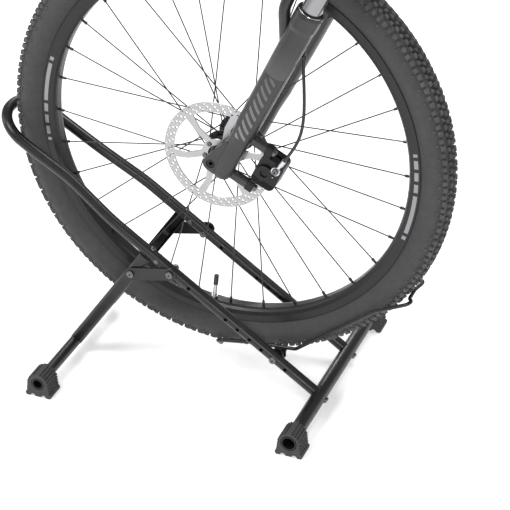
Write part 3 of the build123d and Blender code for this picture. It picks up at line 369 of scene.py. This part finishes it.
def fork_paint():
    """Near-black satin paint with a fine metallic grain and plain slanted stripes on the legs."""
    s = Surface("fork_paint", (0.015, 0.015, 0.0165), 0.34)
    s.set("Coat Weight", 0.25)
    s.set("Coat Roughness", 0.25)
    s.vary_roughness(s.noise(0.015), 0.30, 0.44)
    s.bump(s.noise(0.0009, 2.0), 0.08, 0.0001)
    s.tint(s.ramp(s.noise(0.0006, 1.0), 0.6, 0.8, 0.0, 0.5), (0.05, 0.05, 0.053))
    up, back = from_axle(s, FORK_UP), from_axle(s, FORK_BACK)
    outside = s.ramp(s.math("ABSOLUTE", from_axle(s, (0, 1, 0))), LEG_FACE, LEG_FACE + 1 * MM)
    middle = s.math("ABSOLUTE", s.math("SUBTRACT", back, LEG_BACK))
    lane = s.math("MULTIPLY", outside, s.ramp(middle, STRIPES_HALF, STRIPES_HALF + 0.5 * MM, 1.0, 0.0))
    slanted = s.math("ADD", up, s.math("MULTIPLY", back, STRIPE_SLANT))
    wave = s.math("SINE", s.math("MULTIPLY", slanted, 2 * pi / STRIPE_PITCH))
    bars = s.math("MULTIPLY", s.ramp(wave, 0.15, 0.25), between(s, up, STRIPES_LOW, STRIPES_HIGH, 1 * MM))
    fade = s.ramp(up, STRIPES_LOW, STRIPES_HIGH, 0.75, 0.30)
    s.tint(s.math("MULTIPLY", fade, s.math("MULTIPLY", lane, bars)), (0.24, 0.24, 0.25))
    edge = s.ramp(up, BAND_LOW - 1 * MM, BAND_LOW)
    band = s.math("MULTIPLY", edge, s.ramp(up, BAND_LOW, BAND_HIGH, 0.45, 0.0))
    s.tint(s.math("MULTIPLY", outside, band), (0.11, 0.11, 0.115))
    return s.material


def dress_nodes():
    """Gives every CAD node its material, but for those that a piece replaces."""
    stand = powder_coat("stand_black", (0.009, 0.009, 0.010))
    zinc = steel("dark_zinc", (0.17, 0.17, 0.18), 0.38)
    feet = rubber("foot_rubber", (0.050, 0.050, 0.053), (0.10, 0.10, 0.10), 0.35)
    soft_black = rubber("soft_black", (0.020, 0.020, 0.021), (0.04, 0.04, 0.04), 0.2)
    black_alloy = anodised("black_alloy", (0.030, 0.030, 0.033), 0.34)
    rim = rim_alloy()
    spokes = plastic("spoke_black", (0.012, 0.012, 0.013), 0.36)
    fork = fork_paint()
    bright = steel("bright_steel", (0.62, 0.62, 0.64), 0.22)
    alloy = anodised("satin_alloy", (0.55, 0.55, 0.57), 0.30)
    moulded = plastic("black_plastic", (0.022, 0.022, 0.023), 0.45)
    pad = steel("pad_steel", (0.30, 0.29, 0.28), 0.45)
    piston = plastic("ceramic", (0.7, 0.69, 0.66), 0.4)
    looks = {
        "tyre": None, "brake_hose": None,
        "inner_tube": soft_black, "rim": rim,
        "left_spokes": spokes, "right_spokes": spokes, "nipples": spokes,
        "hub_shell": black_alloy, "hub_end_caps": black_alloy, "hub_sleeve": alloy, "hub_bearings": bright,
        "rotor": brake_disc_steel(), "rotor_bolts": zinc,
        "valve": steel("valve_nickel", (0.62, 0.61, 0.58), 0.24), "valve_cap": moulded,
        "fork_lowers": fork, "crown": fork,
        "fork_bushings": plastic("bush_polymer", (0.25, 0.20, 0.12), 0.5),
        "fork_seals": plastic("wiper_rubber", (0.010, 0.010, 0.010), 0.30),
        "foot_bolts": zinc, "fork_shafts": alloy, "thru_axle": black_alloy,
        "stanchions": anodised("stanchion_gloss", (0.30, 0.30, 0.31), 0.10, 0.03), "seal_heads": alloy,
        "steerer": alloy, "crown_race": bright, "stanchion_caps": black_alloy,
        "compression_knob": anodised("knob_blue", (0.05, 0.12, 0.35), 0.3),
        "caliper": anodised("caliper_black", (0.032, 0.032, 0.034), 0.42), "brake_bolts": zinc,
        "pad_pin": bright, "outer_pad": pad, "inner_pad": pad,
        "outer_piston": piston, "inner_piston": piston,
        "hose_banjo": bright, "hose_connector": black_alloy, "hose_clips": moulded,
        "cradle_wire": stand, "tube_plugs": moulded, "joint_screws": zinc, "base_screws": zinc,
        "fold_bolts": zinc, "cradle_bolts": zinc, "strut_bolts": zinc,
    }
    for name, node in frame["nodes"].items():
        if name in looks:
            material = looks[name]
        else:
            material = feet if name.endswith("_foot") else stand
        if material:
            node.data.materials.clear()
            node.data.materials.append(material)


# ---- tyre ------------------------------------------------------------------------------
KNOB_H = 4.4 * MM          # height of a tread block
PITCHES = 96               # repeats of the tread round the tyre
PITCH_STAGGER = 0.03       # how far each side's blocks are shifted, as a share of the pitch
CASING_TURNS = 288
KNOB_CORNER = 0.28         # cut corner of a block, as a share of its half size
KNOB_SINK = 1.0 * MM       # how far a block's foot goes into the casing
KNOB_TOP = 0.86            # size of a block's top against its named size
KNOB_BEVEL_UP = 0.80       # where the bevel starts, as a share of the block's height
FOOT_FLARE, BEVEL_FLARE = 1.3, 0.15                # shares of the flare at the foot and at the bevel
TREAD_DEEP, TREAD_FADE = 14 * MM, 8 * MM           # how far in the dusty tread fades, and over how much
SHOULDER_UP = 20 * MM      # from the rim's edge: blocks stand only beyond it


def casing_half():
    """(radius, y) points of the casing from the rim to the middle of the tread."""
    crown = TYRE_R - KNOB_H
    half = TYRE_HALF - 0.8 * MM
    bead = RIM_HALF - 2.1 * MM
    mid = RIM_R + 23 * MM
    return [
        (RIM_R - 6 * MM, bead), (RIM_R + 0.4 * MM, bead), (RIM_R + 2.2 * MM, bead + 1.6 * MM),
        (RIM_R + 9 * MM, half - 5.4 * MM), (RIM_R + 16 * MM, half - 1.4 * MM), (mid, half),
        (mid + 8 * MM, half - 1.9 * MM), (crown - 8.6 * MM, half - 6.9 * MM),
        (crown - 3.6 * MM, half - 13.4 * MM), (crown - 0.9 * MM, half - 20.6 * MM), (crown, 0.0),
    ]


def catmull_rom(a, b, c, d, t):
    """Value at t, from 0 at b to 1 at c, of the curve through four values."""
    square, cube = 2 * a - 5 * b + 4 * c - d, 3 * b - a - 3 * c + d
    return 0.5 * (2 * b + (c - a) * t + square * t * t + cube * t ** 3)


def smooth_line(points, steps):
    """Catmull-Rom line through (a, b) points."""
    padded = [points[0]] + points + [points[-1]]
    line = []
    for p0, p1, p2, p3 in zip(padded, padded[1:], padded[2:], padded[3:]):
        for k in range(steps):
            t = k / steps
            line.append(tuple(catmull_rom(a, b, c, d, t) for a, b, c, d in zip(p0, p1, p2, p3)))
    return line + [points[-1]]


def mesh_object(name, bm, material, sharp=35):
    mesh = bpy.data.meshes.new(name)
    bmesh.ops.recalc_face_normals(bm, faces=bm.faces)
    bm.to_mesh(mesh)
    bm.free()
    for face in mesh.polygons:
        face.use_smooth = True
    mesh.set_sharp_from_angle(angle=radians(sharp))
    mesh.materials.append(material)
    item = bpy.data.objects.new(name, mesh)
    bpy.context.scene.collection.objects.link(item)
    return item


def wheel_point(angle, radius, y):
    """Point about the wheel axle; angle from +X toward +Z."""
    return AXLE + Vector((radius * cos(angle), y, radius * sin(angle)))


def crown_height(y):
    """(radius, slope) of the casing's outside at a distance y from its middle."""
    line = smooth_line(casing_half(), 6)
    upper = [p for p in line if p[0] > RIM_R + SHOULDER_UP]
    for (r0, y0), (r1, y1) in zip(upper, upper[1:]):
        if y1 <= abs(y) <= y0:
            t = (y0 - abs(y)) / max(y0 - y1, 1e-9)
            return r0 + (r1 - r0) * t, atan2(r1 - r0, y0 - y1)
    return upper[-1][0], 0.0


def add_casing(bm, tread):
    half = smooth_line(casing_half(), 5)
    section = half + [(r, -y) for r, y in reversed(half[:-1])]
    rings = []
    for i in range(CASING_TURNS):
        angle = 2 * pi * i / CASING_TURNS
        rings.append([bm.verts.new(wheel_point(angle, r, y)) for r, y in section])
    for vert_ring in rings:
        for vert, (r, y) in zip(vert_ring, section):
            vert[tread] = min(1.0, max(0.0, (r - TYRE_R + TREAD_DEEP) / TREAD_FADE))
    for a, b in zip(rings, rings[1:] + rings[:1]):
        for k in range(len(section) - 1):
            bm.faces.new((a[k], a[k + 1], b[k + 1], b[k]))


def add_knob(bm, tread, angle, y, along, wide, height, skew=0.0, flare=0.10):
    """Tread block with cut corners and a bevelled top, whose sides flare toward the casing."""
    radius, slope = crown_height(y)
    side = -1 if y < 0 else 1
    out = Vector((cos(angle), 0, sin(angle)))
    ahead = Vector((-sin(angle), 0, cos(angle)))
    across = Vector((0, side, 0))
    normal = (out * cos(slope) + across * sin(slope)).normalized()
    sideways = (across * cos(slope) - out * sin(slope)).normalized()
    centre = wheel_point(angle, radius, y)
    cut = 1 - KNOB_CORNER
    shape = [(-1, -cut), (-cut, -1), (cut, -1), (1, -cut), (1, cut), (cut, 1), (-cut, 1), (-1, cut)]
    rings = []
    foot = (-KNOB_SINK, 1 + flare * FOOT_FLARE)
    bevel = (height * KNOB_BEVEL_UP, 1 + flare * BEVEL_FLARE)
    for lift, grow in (foot, bevel, (height, KNOB_TOP)):
        ring = []
        for u, v in shape:
            a, b = u * along / 2 * grow, v * wide / 2 * grow
            vert = bm.verts.new(centre + normal * lift + ahead * (a + b * skew) + sideways * b)
            vert[tread] = 1.0 if lift > 0 else 0.4
            ring.append(vert)
        rings.append(ring)
    for low, high in zip(rings, rings[1:]):
        for k in range(len(shape)):
            n = (k + 1) % len(shape)
            bm.faces.new((low[k], low[n], high[n], high[k]))
    bm.faces.new(rings[-1])


# Blocks of one pitch of the tread: start as a share of the pitch, then distance from the middle,
# length and width in mm, height as a share of KNOB_H, and skew.
TREAD = (
    (0.10, 3.8, 7.0, 4.8, 0.97, 0.15), (0.60, 4.6, 5.6, 4.6, 0.97, -0.25), (0.34, 11.6, 7.0, 5.2, 1.0, 0.3),
    (0.86, 12.8, 6.0, 4.8, 1.0, -0.25), (0.08, 20.0, 7.8, 6.4, 1.0, 0.0), (0.57, 21.0, 6.2, 6.2, 1.0, 0.1),
    (0.32, 25.4, 3.6, 2.4, 0.45, 0.0),
)


def make_tyre():
    bm = bmesh.new()
    tread = bm.verts.layers.float.new("tread")
    add_casing(bm, tread)
    step = 2 * pi / PITCHES
    for i in range(PITCHES):
        for side in (-1, 1):
            for start, y, along, wide, height, skew in TREAD:
                angle = i * step + step * (start + PITCH_STAGGER * side)
                add_knob(bm, tread, angle, side * y * MM, along * MM, wide * MM, KNOB_H * height, skew * side)
    item = mesh_object("tyre_tread", bm, tyre_rubber())
    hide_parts("tyre")
    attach(item, "wheel")


# ---- brake hose ------------------------------------------------------------------------
HOSE_D = 5.0 * MM
# Points of the hose in fork directions, in mm: back, to the side and up.
HOSE_ROUTE = (
    (95.5, -67.6, 74), (99, -67.6, 98), (97.5, -64.8, 128), (86, -60, 158), (67.5, -54, 190),
    (48.5, -47, 218.5), (35.5, -41.5, 243.5), (28, -38.2, 268), (25, -37.5, 292),
)


def make_hose():
    """Hose from the banjo up behind the leg and in to the connector, one smooth line."""
    data = bpy.data.curves.new("brake_line", "CURVE")
    data.dimensions = "3D"
    data.bevel_depth = HOSE_D / 2
    data.bevel_resolution = 6
    data.resolution_u = 16
    data.use_fill_caps = True
    spline = data.splines.new("NURBS")
    spline.points.add(len(HOSE_ROUTE) - 1)
    for point, (back, y, up) in zip(spline.points, HOSE_ROUTE):
        point.co = (*fork_point(back * MM, y * MM, up * MM), 1)
    spline.order_u = 3
    spline.use_endpoint_u = True
    hose = bpy.data.objects.new("brake_line", data)
    bpy.context.scene.collection.objects.link(hose)
    data.materials.append(plastic("hose_black", (0.018, 0.018, 0.018), 0.38))
    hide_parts("brake_hose")
    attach(hose, "fork_lowers")


# ---- springs of the wiper seals --------------------------------------------------------
SPRING_R = 19.6 * MM       # ring's radius at the middle of its wire
SPRING_WIRE_R = 0.85 * MM
SPRING_TURNS, SPRING_SIDES = 96, 8
SPRING_WAVES, SPRING_WAVE = 24, 0.12               # beads round the ring, and how proud they stand


def spring_section(centre, angle):
    """Points round the spring's wire at an angle about the leg."""
    out = FORK_BACK * cos(angle) + Vector((0, 1, 0)) * sin(angle)
    wire = SPRING_WIRE_R * (1 + SPRING_WAVE * sin(SPRING_WAVES * angle))
    section = []
    for k in range(SPRING_SIDES):
        b = 2 * pi * k / SPRING_SIDES
        section.append(centre + out * (SPRING_R + wire * cos(b)) + FORK_UP * (wire * sin(b)))
    return section


def make_wiper_springs():
    """Thin ring spring round each wiper seal."""
    for side, name in ((-1, "left"), (1, "right")):
        bm = bmesh.new()
        centre = fork_point(LEG_BACK, side * LEG_SIDE, SEAL_UP)
        rings = []
        for i in range(SPRING_TURNS):
            rings.append([bm.verts.new(p) for p in spring_section(centre, 2 * pi * i / SPRING_TURNS)])
        for r0, r1 in zip(rings, rings[1:] + rings[:1]):
            for k in range(SPRING_SIDES):
                n = (k + 1) % SPRING_SIDES
                bm.faces.new((r0[k], r0[n], r1[n], r1[k]))
        item = mesh_object(f"{name}_wiper_spring", bm, bpy.data.materials["bright_steel"])
        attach(item, "fork_lowers")


make_camera()
make_stage()
dress_nodes()
make_tyre()
make_hose()
make_wiper_springs()
